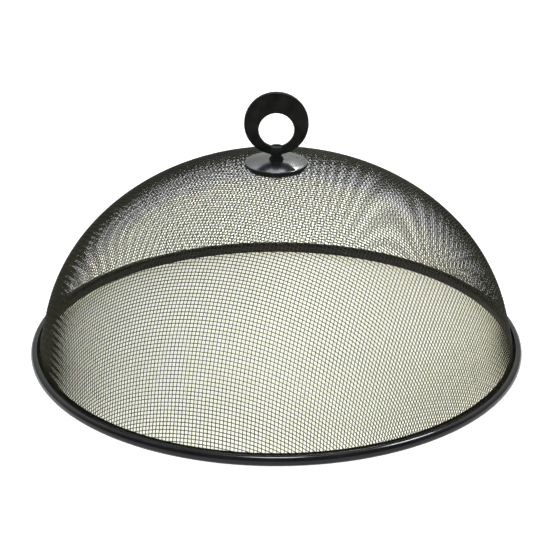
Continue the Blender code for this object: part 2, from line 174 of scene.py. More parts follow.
class FOODCOVER_PG_rim(bpy.types.PropertyGroup):
    """Sizes and colours of the rolled rim"""

    sheet: length("Sheet", "Thickness of the strip", 0.0006)
    roll_height: length("Roll height", "Height of the roll over the table", 0.0070)
    roll_width: length("Roll width", "From the outside to the groove for the cloth", 0.0050)
    groove: length("Groove", "Open width of the groove outside the cloth", 0.0002)
    top_bend: length("Top bend", "Radius of the upper outer edge", 0.0030)
    outer_bend: length("Outer bend", "Radius of the lower outer edge", 0.0030)
    inner_bend: length("Inner bend", "Radius of the lower inner edge", 0.0012)
    flange_bend: length("Flange bend", "Radius of the edge that dips into the groove", 0.0006)
    lip_rise: length("Lip rise", "How far the inner lip stands above the cloth's edge", 0.0046)
    lip_radius: length("Lip radius", "Radius of the inner lip's middle", 0.16709)
    core: colour("Core wire", "Colour of the drawn wire inside", (0.45, 0.45, 0.45))
    enamel: colour("Enamel", "Colour of the gloss enamel", (0.0060, 0.0060, 0.0068))
    dust: colour("Dust", "Colour of the fine dust on upward faces", (0.20, 0.20, 0.19))


class FOODCOVER_PG_discs(bpy.types.PropertyGroup):
    """Sizes and colours of the two clamping discs"""

    sheet: length("Sheet", "Thickness of the pressed sheet", 0.0008)
    top_crown: length("Top crown", "How far the top disc bulges", 0.0019)
    top_skirt: length("Top skirt", "Height of the top disc's turned-down edge", 0.0021)
    inner_crown: length("Inner crown", "How far the inner disc bulges", 0.0012)
    inner_skirt: length("Inner skirt", "Height of the inner disc's edge", 0.0016)
    edge_bend: length("Edge bend", "Radius between the crown and the skirt", 0.0007)
    hole_radius: length("Hole", "Radius of the hole for the stud", 0.0028)
    enamel: colour("Enamel", "Colour of the polished enamel", (0.0070, 0.0072, 0.0078))
    # painted shade: the skirt's faces take a copy of the enamel that reflects less, so the turned-down edge
    # reads dark
    skirt_gloss: share("Skirt gloss", "Specular level of the turned-down edge", 0.04)
    skirt_slope: share("Skirt slope", "Upright share of a normal under which a face is skirt", 0.7)
    coat: share("Lacquer", "Share of the enamel that is under clear lacquer", 0.35)
    coat_blur: share("Lacquer blur", "Roughness of the clear lacquer", 0.06)


class FOODCOVER_PG_handle(bpy.types.PropertyGroup):
    """Sizes and colours of the post and the ring that it holds"""

    hole_share: share("Hole share", "The hole's diameter, as a share of the ring's", 0.55)
    low_wall: length("Low wall", "Thickness of the ring under its hole", 0.0053)
    outer_round: length("Outer round", "Rounding of the ring's outer edges", 0.0006)
    inner_round: length("Inner round", "Rounding of the edges of its hole", 0.0011)
    foot: length("Foot", "Diameter of the post's foot", 0.0100)
    waist: length("Waist", "Diameter of the post's narrowest place", 0.0075)
    foot_rim: length("Foot rim", "Height of the foot's straight edge", 0.0006)
    neck_height: length("Neck", "Height of the narrowest place", 0.0029)
    flare: length("Flare", "Height over which the waist opens into the head", 0.0009)
    below_ring: length("Below the ring", "Height of the floor of the fork", 0.0032)
    top_round: length("Top round", "Rounding of the fork's top edge", 0.0007)
    fork_play: length("Play", "Room beside the ring in its fork", 0.0001)
    corner: length("Corner", "Width of the fork's broken edges", 0.00012)
    seat_gap: length("Seat gap", "Gap that the solids keep between touching pieces", 0.0003)
    front_wall: length("Front wall", "Metal left in front of the blind pin hole", 0.0011)
    ring_paint: colour("Ring", "Colour of the ring", (0.0011, 0.0012, 0.0010))
    post_paint: colour("Post", "Colour of the post", (0.0026, 0.0027, 0.0027))
    steel: colour("Pin", "Colour of the pin", (0.42, 0.42, 0.42))


class FOODCOVER_PG_fixing(bpy.types.PropertyGroup):
    """Sizes and colours of the stud, its split washer and its nut"""

    stud_diameter: length("Stud", "Outside diameter of the thread", 0.0050)
    thread_pitch: length("Thread pitch", "Rise of the thread in one turn", 0.0008)
    thread_depth: length("Thread depth", "Depth of the thread", 0.00045)
    chamfer: length("Chamfer", "Chamfer on the stud's end", 0.0005)
    washer_width: length("Washer width", "Width of the washer's section", 0.0018)
    washer_round: length("Washer round", "Rounding of the washer's edges", 0.00018)
    washer_split: angle("Split", "Angle left open in the washer", 16)
    face_share: share("Nut face", "Width of the nut's flat face, as a share of its flats", 0.94)
    bore_chamfer: length("Bore chamfer", "Chamfer at both ends of the nut's bore", 0.0003)
    zinc: colour("Zinc", "Colour of the zinc plate", (0.50, 0.50, 0.47))


class FOODCOVER_PG_studio(bpy.types.PropertyGroup):
    """The camera, the lamps and the floor"""

    distance: length("Distance", "From the camera to the point it looks at", 1.2070)
    elevation: angle("Elevation", "Height of the camera over the horizon", 24.037)
    aim_height: length("Aim height", "Height of the point that the camera looks at", 0.05414)
    aim_left: length("Aim left", "How far that point lies left of the middle", 0.0006)
    lens: bpy.props.FloatProperty(
        name="Lens", description="Focal length on a 36 mm sensor", default=111.60,
        subtype="DISTANCE_CAMERA", unit="CAMERA",
    )
    floor: colour("Floor", "Colour of the floor", (0.92, 0.92, 0.92))
    glow: colour("Floor glow", "What the open floor adds where it is looked at", (0.50, 0.50, 0.50))
    # painted warm light on the floor behind the cover, where it is seen through the cloth
    back_painted_light: colour("Back glow", "What it adds where it is seen through the cloth", (0.72, 0.72, 0.50))
    back_width: length("Back width", "Half the width of the open floor seen through the cloth", 0.164)
    back_depth: length("Back depth", "How far behind the middle that floor ends", 0.342)
    # painted shade on the floor under the cloth, painted lighter towards the right
    shade_left: colour("Left shade", "What the floor under the cloth adds on the left", (0.09, 0.09, 0.0))
    shade_right: colour("Right shade", "What it adds on the right", (0.47, 0.45, 0.25))
    shade_radius: length("Shade radius", "Radius at which the floor under the cloth ends", 0.163)
    shade_edge: length("Shade edge", "Width over which it turns into the open floor", 0.010)
    key: share("Key", "Strength of the lamp beside the camera", 42.0)
    key_size: length("Key size", "Radius of that lamp", 0.020)
    room: share("Room", "Strength of the dark room on the camera's side", 0.04)
    low_sky: share("Low light", "Strength of the bright wall behind, at the horizon", 0.62)
    high_sky: share("High light", "Strength of the bright wall behind, higher up", 1.35)
    low_tint: colour("Low tint", "Colour of that wall at the horizon", (0.92, 1.0, 0.90))
    high_tint: colour("High tint", "Colour of that wall higher up", (0.96, 0.98, 1.0))
    box_power: share("Softbox", "Power of the softbox behind and above, in watts", 1.0)
    top_power: share("Top box", "Power of the strip light overhead, in watts", 14.0)
    right_power: share("Right box", "Power of the strip light above the right side, in watts", 16.0)
    top_size: length("Top box size", "Width of the strip lights overhead", 0.30)
    back_power: share("Back box", "Power of the wide bluish softbox behind, in watts", 1.4)


# Surfaces from arrays


def along(vectors):
    """Vectors scaled to length one."""
    return vectors / np.linalg.norm(vectors, axis=-1, keepdims=True)


def grid_quads(rows, columns, rows_close, columns_close):
    """Corner numbers of the quads between neighbours on a grid of rows times columns points."""
    index = np.arange(rows * columns).reshape(rows, columns)
    if rows_close:
        index = np.vstack([index, index[:1]])
    if columns_close:
        index = np.hstack([index, index[:, :1]])
    corners = (index[:-1, :-1], index[1:, :-1], index[1:, 1:], index[:-1, 1:])
    return np.stack(corners, axis=-1).reshape(-1, 4)


def welded(points, quads):
    """Merges points that coincide, splits quads in two, and drops halves that have no area."""
    _, first, index = np.unique(
        np.round(points / MERGE), axis=0, return_index=True, return_inverse=True
    )
    corners = index.reshape(-1)[quads]
    halves = np.concatenate([corners[:, [0, 1, 2]], corners[:, [0, 2, 3]]])
    spread = (halves != np.roll(halves, 1, axis=1)).all(axis=1)
    return points[first], halves[spread]


def facing_out(points, faces):
    """Turns every face round if the volume that they enclose comes out negative."""
    one, two, three = (points[faces[:, k]] for k in range(3))
    volume = np.einsum("ij,ij->", one, np.cross(two, three))
    return faces if volume > 0 else faces[:, ::-1]


def mesh_from(name, points, faces, sharp_degrees=SHARP):
    """A mesh from arrays of points and of faces with equal numbers of corners."""
    mesh = bpy.data.meshes.new(name)
    sides = faces.shape[1]
    mesh.vertices.add(len(points))
    mesh.vertices.foreach_set("co", points.astype(np.float32).ravel())
    mesh.loops.add(faces.size)
    mesh.loops.foreach_set("vertex_index", faces.astype(np.int32).ravel())
    mesh.polygons.add(len(faces))
    mesh.polygons.foreach_set("loop_start", np.arange(0, faces.size, sides, dtype=np.int32))
    mesh.update(calc_edges=True)
    mesh.shade_smooth()
    mesh.set_sharp_from_angle(angle=math.radians(sharp_degrees))
    return mesh


def closed_mesh(name, points, quads, sharp_degrees=SHARP):
    """A closed mesh from a grid whose poles and seams are still double."""
    points, faces = welded(points.reshape(-1, 3), quads)
    return mesh_from(name, points, facing_out(points, faces), sharp_degrees)


def arc(centre, radius, start, end, steps):
    """Points of a circle in a section: centre plus radius times (cos a, sin a), in degrees."""
    turn = np.radians(np.linspace(start, end, steps + 1))
    return np.array(centre) + radius * np.stack([np.cos(turn), np.sin(turn)], axis=-1)


def flare(start, end, steps=FLARE_STEPS):
    """A soft S in a section: height goes evenly, and radius by (1 - cos(pi s)) / 2."""
    step = np.linspace(0, 1, steps + 1)
    ease = (1 - np.cos(np.pi * step)) / 2
    return np.stack([start[0] + (end[0] - start[0]) * ease,
                     start[1] + (end[1] - start[1]) * step], axis=-1)


def left_of(vectors):
    """Vectors of a section turned a quarter to the left."""
    return np.stack([-vectors[..., 1], vectors[..., 0]], axis=-1)


def rounded_sheet(path, thickness):
    """Outline of a bent sheet: the path moved half the thickness to each side, and round ends.

    At a corner the move is along the mean of the two sides, lengthened by one over its cosine.
    """
    runs = along(np.diff(path, axis=0))
    before = np.vstack([runs[:1], runs])
    after = np.vstack([runs, runs[-1:]])
    across = along(left_of(before + after))
    reach = thickness / 2 / np.einsum("ij,ij->i", across, left_of(before))
    move = across * reach[:, None]
    turn = np.linspace(0, np.pi, END_STEPS + 1)[1:-1, None]
    far = path[-1] + thickness / 2 * (left_of(runs[-1]) * np.cos(turn) + runs[-1] * np.sin(turn))
    near = path[0] - thickness / 2 * (left_of(runs[0]) * np.cos(turn) + runs[0] * np.sin(turn))
    return np.vstack([path + move, far, (path - move)[::-1], near])


def lathe(name, section, steps, closed=True, sharp_degrees=SHARP):
    """A section (r, z) turned about Z: (r cos t, r sin t, z) for t once round."""
    turn = np.linspace(0, 2 * np.pi, steps, endpoint=False)[:, None]
    radius, height = section[:, 0], section[:, 1]
    points = np.stack(
        [radius * np.cos(turn), radius * np.sin(turn), np.broadcast_to(height, (steps, len(height)))],
        axis=-1,
    )
    return closed_mesh(name, points, grid_quads(steps, len(section), True, closed), sharp_degrees)


def add_piece(mesh, material, body, replaced=()):
    """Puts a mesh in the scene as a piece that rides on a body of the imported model."""
    piece = bpy.data.objects.new(mesh.name, mesh)
    bpy.context.scene.collection.objects.link(piece)
    mesh.materials.clear()
    mesh.materials.append(material)
    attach(piece, body)
    if replaced:
        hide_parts(*replaced)
    return piece


def without_slivers(mesh):
    """Merges the points that a cut leaves almost double, and splits all faces in triangles."""
    clean = bmesh.new()
    clean.from_mesh(mesh)
    bmesh.ops.triangulate(clean, faces=clean.faces[:])
    bmesh.ops.remove_doubles(clean, verts=clean.verts[:], dist=CUT_MERGE)
    bmesh.ops.dissolve_degenerate(clean, edges=clean.edges[:], dist=CUT_MERGE)
    bmesh.ops.triangulate(clean, faces=clean.faces[:])
    clean.to_mesh(mesh)
    clean.free()


def shaped(mesh, cutters, corner=0.0):
    """The mesh less its cutters, its new edges broken by a narrow bevel, as one plain mesh."""
    scene = bpy.context.scene.collection.objects
    thing = bpy.data.objects.new(mesh.name, mesh)
    scene.link(thing)
    tools = [bpy.data.objects.new(tool.name, tool) for tool in cutters]
    for tool in tools:
        scene.link(tool)
        cut = thing.modifiers.new(tool.name, "BOOLEAN")
        cut.operation = "DIFFERENCE"
        cut.solver = "EXACT"
        cut.object = tool
    if corner:
        edge = thing.modifiers.new("broken edges", "BEVEL")
        edge.width = corner
        edge.segments = BROKEN_EDGE_STEPS
        edge.limit_method = "ANGLE"
        edge.angle_limit = math.radians(BROKEN)
    graph = bpy.context.evaluated_depsgraph_get()
    made = bpy.data.meshes.new_from_object(thing.evaluated_get(graph))
    for spent in (thing, *tools):
        old = spent.data
        bpy.data.objects.remove(spent)
        bpy.data.meshes.remove(old)
    without_slivers(made)
    made.shade_smooth()
    made.set_sharp_from_angle(angle=math.radians(CUT_SHARP))
    return made


def box_mesh(name, low, high):
    """A box between two corners. Point 4 i + 2 j + k has the low or the high x, y and z."""
    x, y, z = np.meshgrid(*[(low[k], high[k]) for k in range(3)], indexing="ij")
    points = np.stack([x, y, z], axis=-1).reshape(-1, 3)
    faces = np.array([[0, 1, 3, 2], [4, 6, 7, 5], [0, 4, 5, 1], [2, 3, 7, 6], [0, 2, 6, 4], [1, 5, 7, 3]])
    return mesh_from(name, points, facing_out(points, faces))


def rod_mesh(name, profile, height, steps=PIN_STEPS):
    """A profile (r, y) turned about the line along Y at a height: (r cos t, y, height + r sin t)."""
    turn = np.linspace(0, 2 * np.pi, steps, endpoint=False)[:, None]
    radius, reach = profile[:, 0], profile[:, 1]
    points = np.stack(
        [radius * np.cos(turn), np.broadcast_to(reach, (steps, len(reach))),
         height + radius * np.sin(turn)],
        axis=-1,
    )
    return closed_mesh(name, points, grid_quads(steps, len(profile), True, False))


# Nodes of the materials


def node(tree, kind, inputs=None, **fields):
    """Adds a node, sets its fields, and sets or links its inputs by name or number."""
    made = tree.nodes.new(kind)
    for field, value in fields.items():
        setattr(made, field, value)
    for name, value in (inputs or {}).items():
        if isinstance(value, bpy.types.NodeSocket):
            tree.links.new(value, made.inputs[name])
        else:
            made.inputs[name].default_value = value
    return made


def noise(tree, place, scale, detail=3.0, roughness=0.55):
    """A noise pattern at a scale in waves to the metre."""
    inputs = {"Vector": place, "Scale": scale, "Detail": detail, "Roughness": roughness}
    return node(tree, "ShaderNodeTexNoise", inputs).outputs["Fac"]


def ranged(tree, value, low, high, to_low=0.0, to_high=1.0):
    """A value moved from one range to another and held inside it."""
    inputs = {"Value": value, "From Min": low, "From Max": high, "To Min": to_low, "To Max": to_high}
    return node(tree, "ShaderNodeMapRange", inputs).outputs["Result"]


def reckoned(tree, operation, one, other):
    """One value worked out from two, by an operation such as ADD."""
    return node(tree, "ShaderNodeMath", {0: one, 1: other}, operation=operation).outputs[0]


def part_of(tree, place, axis):
    """The share of a place or a direction that lies along X, Y or Z."""
    return node(tree, "ShaderNodeSeparateXYZ", {"Vector": place}).outputs[axis]


def length_of(tree, vector):
    """How long a vector is."""
    return node(tree, "ShaderNodeVectorMath", {0: vector}, operation="LENGTH").outputs["Value"]


def mixed(tree, factor, one, other):
    """One colour turning into another."""
    made = node(tree, "ShaderNodeMix", data_type="RGBA")
    sockets = {socket.name: socket for socket in made.inputs if socket.enabled}
    tree.links.new(factor, sockets["Factor"])
    for name, value in (("A", one), ("B", other)):
        if isinstance(value, bpy.types.NodeSocket):
            tree.links.new(value, sockets[name])
        else:
            sockets[name].default_value = (*value, 1)
    return next(socket for socket in made.outputs if socket.enabled)


def new_group(name, inputs, outputs):
    """An empty shader group with float inputs, given with their defaults, and float outputs."""
    group = bpy.data.node_groups.new(name, "ShaderNodeTree")
    group.interface.new_socket("Place", in_out="INPUT", socket_type="NodeSocketVector")
    for label, default in inputs.items():
        socket = group.interface.new_socket(label, in_out="INPUT", socket_type="NodeSocketFloat")
        socket.default_value = default
    for label in outputs:
        group.interface.new_socket(label, in_out="OUTPUT", socket_type="NodeSocketFloat")
    return group, group.nodes.new("NodeGroupInput"), group.nodes.new("NodeGroupOutput")


def skin_group():
    """Fine grain and slow changes of gloss, shared by every coated or plated surface."""
    name = "coated_skin"
    if name in bpy.data.node_groups:
        return bpy.data.node_groups[name]
    group, given, out = new_group(
        name,
        {"Grain Scale": 900.0, "Patch Scale": 40.0, "Smooth": 0.1, "Dull": 0.2},
        ("Roughness", "Height", "Patches"),
    )
    place = given.outputs["Place"]
    grain = noise(group, place, given.outputs["Grain Scale"], detail=2.0)
    patches = noise(group, place, given.outputs["Patch Scale"], detail=4.0, roughness=0.6)
    both = reckoned(group, "ADD", grain, patches)
    smooth, dull = given.outputs["Smooth"], given.outputs["Dull"]
    gloss = ranged(group, both, low=0.75, high=1.25, to_low=smooth, to_high=dull)
    group.links.new(gloss, out.inputs["Roughness"])
    group.links.new(grain, out.inputs["Height"])
    group.links.new(ranged(group, patches, low=0.35, high=0.65), out.inputs["Patches"])
    return group


def dust_group():
    """Fine dust, which lies only where a surface faces up, in specks and faint patches."""
    name = "settled_dust"
    if name in bpy.data.node_groups:
        return bpy.data.node_groups[name]
    group, given, out = new_group(name, {"Speck Scale": 1500.0, "Amount": 0.2}, ("Dust",))
    place = given.outputs["Place"]
    fine = noise(group, place, given.outputs["Speck Scale"], detail=1.0)
    specks = ranged(group, fine, low=0.66, high=0.74)
    broad = noise(group, place, scale=60.0, detail=4.0)
    film = ranged(group, broad, low=0.4, high=0.7, to_high=0.25)
    both = reckoned(group, "MAXIMUM", specks, film)
    normal = group.nodes.new("ShaderNodeNewGeometry").outputs["Normal"]
    upright = part_of(group, normal, "Z")
    facing = ranged(group, upright, low=0.5, high=0.95, to_high=given.outputs["Amount"])
    group.links.new(reckoned(group, "MULTIPLY", both, facing), out.inputs["Dust"])
    return group


def begin_material(name, metallic=0.0, specular=0.5):
    """A node material with its shader and the object's own coordinates."""
    material = bpy.data.materials.new(name)
    material.use_nodes = True
    tree = material.node_tree
    shader = tree.nodes["Principled BSDF"]
    shader.inputs["Metallic"].default_value = metallic
    shader.inputs["Specular IOR Level"].default_value = specular
    return material, tree, shader, tree.nodes.new("ShaderNodeTexCoord").outputs["Object"]


def use_skin(tree, shader, place, grain, patch, smooth, dull, depth):
    """Gives a shader the shared skin's roughness and grain, and returns its patches."""
    scales = {"Place": place, "Grain Scale": grain, "Patch Scale": patch}
    skin = node(tree, "ShaderNodeGroup", {**scales, "Smooth": smooth, "Dull": dull}, node_tree=skin_group())
    relief = {"Height": skin.outputs["Height"], "Strength": 1.0, "Distance": depth}
    bump = node(tree, "ShaderNodeBump", relief)
    tree.links.new(bump.outputs["Normal"], shader.inputs["Normal"])
    tree.links.new(skin.outputs["Roughness"], shader.inputs["Roughness"])
    return skin.outputs["Patches"]


def use_dust(tree, shader, place, base, dust_colour, amount):
    """Lays dust over a base colour."""
    dust = node(tree, "ShaderNodeGroup", node_tree=dust_group())
    dust.inputs["Amount"].default_value = amount
    tree.links.new(place, dust.inputs["Place"])
    tree.links.new(mixed(tree, dust.outputs["Dust"], base, dust_colour), shader.inputs["Base Color"])


def scaled(tint, by):
    """A colour times a factor, held under one."""
    return tuple(min(channel * by, 1.0) for channel in tint)


def enamel(name, tint, specular, dust_tint, smooth, dull, amount):
    """Gloss enamel: a faint orange peel, slow changes of gloss and a little dust."""
    material, tree, shader, place = begin_material(name, specular=specular)
    patches = use_skin(tree, shader, place, grain=700.0, patch=30.0, smooth=smooth, dull=dull, depth=2e-6)
    base = mixed(tree, patches, tint, scaled(tint, by=1.5))
    use_dust(tree, shader, place, base, dust_tint, amount)
    return material


def satin(name, tint, specular, cloud, grain, smooth, dull, depth):
    """Satin black paint with a fine grain, and cloudy patches that are paler by a factor."""
    material, tree, shader, place = begin_material(name, specular=specular)
    patches = use_skin(tree, shader, place, grain, patch=110.0, smooth=smooth, dull=dull, depth=depth)
    tree.links.new(mixed(tree, patches, tint, scaled(tint, by=cloud)), shader.inputs["Base Color"])
    return material


def plated(name, tint, grain, smooth, dull, depth):
    """Bare or plated steel: bright metal with duller patches and fine tool marks."""
    material, tree, shader, place = begin_material(name, metallic=1.0)
    patches = use_skin(tree, shader, place, grain, patch=500.0, smooth=smooth, dull=dull, depth=depth)
    tree.links.new(mixed(tree, patches, scaled(tint, by=0.7), tint), shader.inputs["Base Color"])
    return material


def coated_wire(sizes):
    """Thinly coated wire: the coating pales in places and is rubbed on the highest knuckles."""
    material, tree, shader, place = begin_material("coated wire", specular=0.12)
    shader.inputs["Specular Tint"].default_value = (*sizes.sheen, 1)
    patches = use_skin(tree, shader, place, grain=2500.0, patch=90.0, smooth=0.38, dull=0.55, depth=8e-6)
    coat = mixed(tree, patches, sizes.paint[:], sizes.pale_paint[:])
    knuckle = node(tree, "ShaderNodeAttribute", attribute_name="knuckle").outputs["Fac"]
    rubbed = ranged(tree, noise(tree, place, scale=25.0), low=0.55, high=0.7, to_high=0.4)
    mask = reckoned(tree, "MULTIPLY", knuckle, rubbed)
    tree.links.new(mixed(tree, mask, coat, sizes.bare[:]), shader.inputs["Base Color"])
    return material


# The wire cloth


class Dome:
    """The cloth's middle surface: an ellipse turned about Z that goes on as a cylinder below.

    Its points have (x^2 + y^2) / radius^2 + (max(z - edge, 0) / rise)^2 = 1. When the net is
    laid, its foot is spread outwards by flare (1 - s)^2, with s = (z - edge) / flare_height.
    """

    def __init__(self, radius, edge, rise, flare, flare_height):
        self.radius, self.edge, self.rise = radius, edge, rise
        self.flare, self.flare_height = flare, flare_height

    def gap(self, points):
        """Nothing on the dome, less than nothing inside it and more outside."""
        lift = np.maximum(points[..., 2] - self.edge, 0) / self.rise
        return (points[..., 0] ** 2 + points[..., 1] ** 2) / self.radius**2 + lift**2 - 1

    def slope(self, points):
        """How fast the gap grows along x, y and z."""
        lift = np.maximum(points[..., 2] - self.edge, 0) / self.rise**2
        sides = points[..., :2] / self.radius**2
        return 2 * np.concatenate([sides, lift[..., None]], axis=-1)

    def from_flare(self, points):
        """One at the edge and below it, and nothing from the flare's height upwards."""
        return 1 - np.clip((points[..., 2] - self.edge) / self.flare_height, 0, 1)

    def spread(self, points):
        """The points with the foot spread outwards."""
        out = self.flare * self.from_flare(points) ** 2 / self.radius
        return points * np.stack([1 + out, 1 + out, np.ones_like(out)], axis=-1)

    def normal(self, points):
        """The spread surface's normal at the place to which a point is spread."""
        slope = self.slope(points)
        tilt = 2 * self.flare * self.from_flare(points) / self.flare_height
        slope[..., 2] += tilt * np.linalg.norm(slope[..., :2], axis=-1)
        return along(slope)

    def meridian(self, pitch):
        """(r, z) at even steps of arc length from the top down, and a little below the edge."""
        turn = np.linspace(0, np.pi / 2, MERIDIAN_STEPS + 1)
        line = np.stack([self.radius * np.sin(turn), self.edge + self.rise * np.cos(turn)], axis=-1)
        run = np.concatenate([[0], np.cumsum(np.linalg.norm(np.diff(line, axis=0), axis=-1))])
        steps = np.arange(0, run[-1] + CROSSINGS_BELOW * pitch, pitch)
        radius = np.interp(steps, run, line[:, 0])
        height = np.interp(steps, run, line[:, 1]) - np.maximum(steps - run[-1], 0)
        return radius, height


def swing(dome, pivot, reach, ahead, side):
    """Swings arms about pivots, square to side, until their ends lie on the dome (Newton)."""
    down = along(np.cross(ahead, side))
    up = np.einsum("ij,ij->i", down, dome.slope(pivot)) > 0
    down = np.where(up[:, None], -down, down)
    turn = np.zeros(len(pivot))
    for _ in range(NEWTON_ROUNDS):
        cos, sin = np.cos(turn)[:, None], np.sin(turn)[:, None]
        end = pivot + (ahead * cos + down * sin) * reach[:, None]
        rate = np.einsum("ij,ij->i", dome.slope(end), (down * cos - ahead * sin) * reach[:, None])
        turn = turn - dome.gap(end) / rate
    return end


def net_quadrant(dome, pitch):
    """Crossings of a net of wires that don't stretch, on a quarter of the dome.

    Each crossing lies one pitch from its two neighbours, across from the crossing behind them,
    and on the dome. All crossings with the same i + j are found at once.
    """
    radius, height = dome.meridian(pitch)
    count = len(radius)
    nodes = np.full((count, count, 3), np.nan)
    nodes[:, 0] = np.stack([radius, 0 * radius, height], axis=-1)
    nodes[0, :] = np.stack([0 * radius, radius, height], axis=-1)
    for total in range(2, 2 * count - 1):
        i = np.arange(max(1, total - count + 1), min(total - 1, count - 1) + 1)
        j = total - i
        one, other, behind = nodes[i - 1, j], nodes[i, j - 1], nodes[i - 1, j - 1]
        middle = (one + other) / 2
        room = pitch**2 - ((one - middle) ** 2).sum(axis=-1)
        known = np.isfinite(room) & (room > 0) & (behind[:, 2] > dome.edge - pitch)
        i, j, one, other, behind = (a[known] for a in (i, j, one, other, behind))
        middle, room = middle[known], room[known]
        if len(i):
            ahead = along(middle - behind)
            nodes[i, j] = swing(dome, middle, np.sqrt(room), ahead, one - other)
    return nodes


def whole_net(dome, pitch, turn):
    """The quadrant turned four times about Z, then all of it turned by the weave's angle."""
    quadrant = net_quadrant(dome, pitch)
    last = len(quadrant) - 1
    nodes = np.full((2 * last + 1, 2 * last + 1, 3), np.nan)
    i, j = np.meshgrid(np.arange(last + 1), np.arange(last + 1), indexing="ij")
    for _ in range(4):
        nodes[i + last, j + last] = quadrant
        i, j = -j, i
        quadrant = np.stack([-quadrant[..., 1], quadrant[..., 0], quadrant[..., 2]], axis=-1)
    cos, sin = math.cos(turn), math.sin(turn)
    x, y = nodes[..., 0], nodes[..., 1]
    return np.stack([cos * x - sin * y, sin * x + cos * y, nodes[..., 2]], axis=-1)


def ends_on_edge(path, inside, edge, step):
    """Moves the first crossing past the cloth's edge back along its wire to that edge."""
    before = np.roll(path, step, axis=1)
    leaves = np.roll(inside, step, axis=1) & (path[..., 2] < edge)
    with np.errstate(divide="ignore", invalid="ignore"):
        share_kept = (before[..., 2] - edge) / (before[..., 2] - path[..., 2])
        cut = before + (path - before) * share_kept[..., None]
    return np.where(leaves[..., None], cut, path), leaves


def wire_tubes(nodes, normal, over, edge, sizes):
    """Six-sided tubes through the crossings of each row of the net.

    A wire's middle goes through crossing plus or minus half a wire along the dome's normal, by
    turns over and under, and its sides are that middle plus radius times (cos a N + sin a B).
    """
    out_of_hole = np.hypot(nodes[..., 0], nodes[..., 1]) > sizes.hole_radius
    inside = (nodes[..., 2] >= edge) & out_of_hole
    path = nodes + normal * (over * sizes.wire_diameter / 2)[..., None]
    path, ahead_end = ends_on_edge(path, inside, edge, 1)
    path, back_end = ends_on_edge(path, inside, edge, -1)
    used = inside | ahead_end | back_end
    runs = used & np.roll(used, -1, axis=1) & (inside | np.roll(inside, -1, axis=1))
    runs[:, -1] = False
    after = np.where(runs[..., None], np.roll(path, -1, axis=1), path)
    came = np.roll(runs, 1, axis=1)
    before = np.where(came[..., None], np.roll(path, 1, axis=1), path)
    with np.errstate(invalid="ignore"):
        tangent = along(after - before)
        upright = along(normal - tangent * (normal * tangent).sum(axis=-1, keepdims=True))
    across = np.cross(tangent, upright)
    turn = np.arange(WIRE_SIDES) * 2 * np.pi / WIRE_SIDES
    thick = sizes.wire_diameter / 2 * (np.pi / WIRE_SIDES) / np.sin(np.pi / WIRE_SIDES)
    round_it = thick * (
        np.cos(turn)[:, None] * upright[..., None, :] + np.sin(turn)[:, None] * across[..., None, :]
    )
    points = (path[..., None, :] + round_it).reshape(-1, 3)
    knuckle = (np.maximum(np.cos(turn), 0) * (over > 0)[..., None]).reshape(-1)
    index = np.arange(points.shape[0]).reshape(*path.shape[:2], WIRE_SIDES)
    one, two = index[runs], np.roll(index, -1, axis=1)[runs]
    walls = np.stack([one, np.roll(one, -1, axis=1), np.roll(two, -1, axis=1), two], axis=-1)
    starts, stops = index[runs & ~came], index[came & ~runs]
    # two quads close a six-sided end
    caps = [starts[:, [0, 5, 4, 3]], starts[:, [0, 3, 2, 1]],
            stops[:, [0, 1, 2, 3]], stops[:, [0, 3, 4, 5]]]
    quads = np.concatenate([walls.reshape(-1, 4), *caps])
    kept, faces = np.unique(quads, return_inverse=True)
    return points[kept], faces.reshape(-1, 4), knuckle[kept]


class FOODCOVER_OT_cloth(bpy.types.Operator):
    """Weave the wire cloth over the dome, with every wire laid by the net's own geometry"""

    bl_idname = "foodcover.cloth"
    bl_label = "Wire cloth"

    def execute(self, context):
        sizes, rim = context.scene.foodcover_cloth, context.scene.foodcover_rim
        foot = RIM_HIGH.x - rim.roll_width - rim.groove - sizes.wire_diameter
        edge = rim.sheet + rim.inner_bend
        dome = Dome(foot - sizes.foot_flare, edge, sizes.rise, sizes.foot_flare, sizes.flare_height)
        net = whole_net(dome, sizes.wire_pitch, sizes.turn)
        nodes, normals = dome.spread(net), dome.normal(net)
        count = len(nodes)
        number = np.arange(count)
        over = 1.0 - 2.0 * ((number[:, None] + number[None, :]) % 2)
        material = coated_wire(sizes)
        half = count // 2
        weft = nodes.transpose(1, 0, 2), normals.transpose(1, 0, 2), -over
        for family, (paths, out, sign) in (("warp", (nodes, normals, over)), ("weft", weft)):
            for side, rows in (("low", slice(0, half)), ("high", slice(half, count))):
                points, faces, knuckle = wire_tubes(paths[rows], out[rows], sign[rows], edge, sizes)
                name = f"cloth_{family}_{side}"
                mesh = mesh_from(name, points, faces, CLOTH_SHARP)
                mark = mesh.attributes.new("knuckle", "FLOAT", "POINT")
                mark.data.foreach_set("value", knuckle.astype(np.float32))
                add_piece(mesh, material, "cover", ("wire_mesh_dome",))
        return {"FINISHED"}


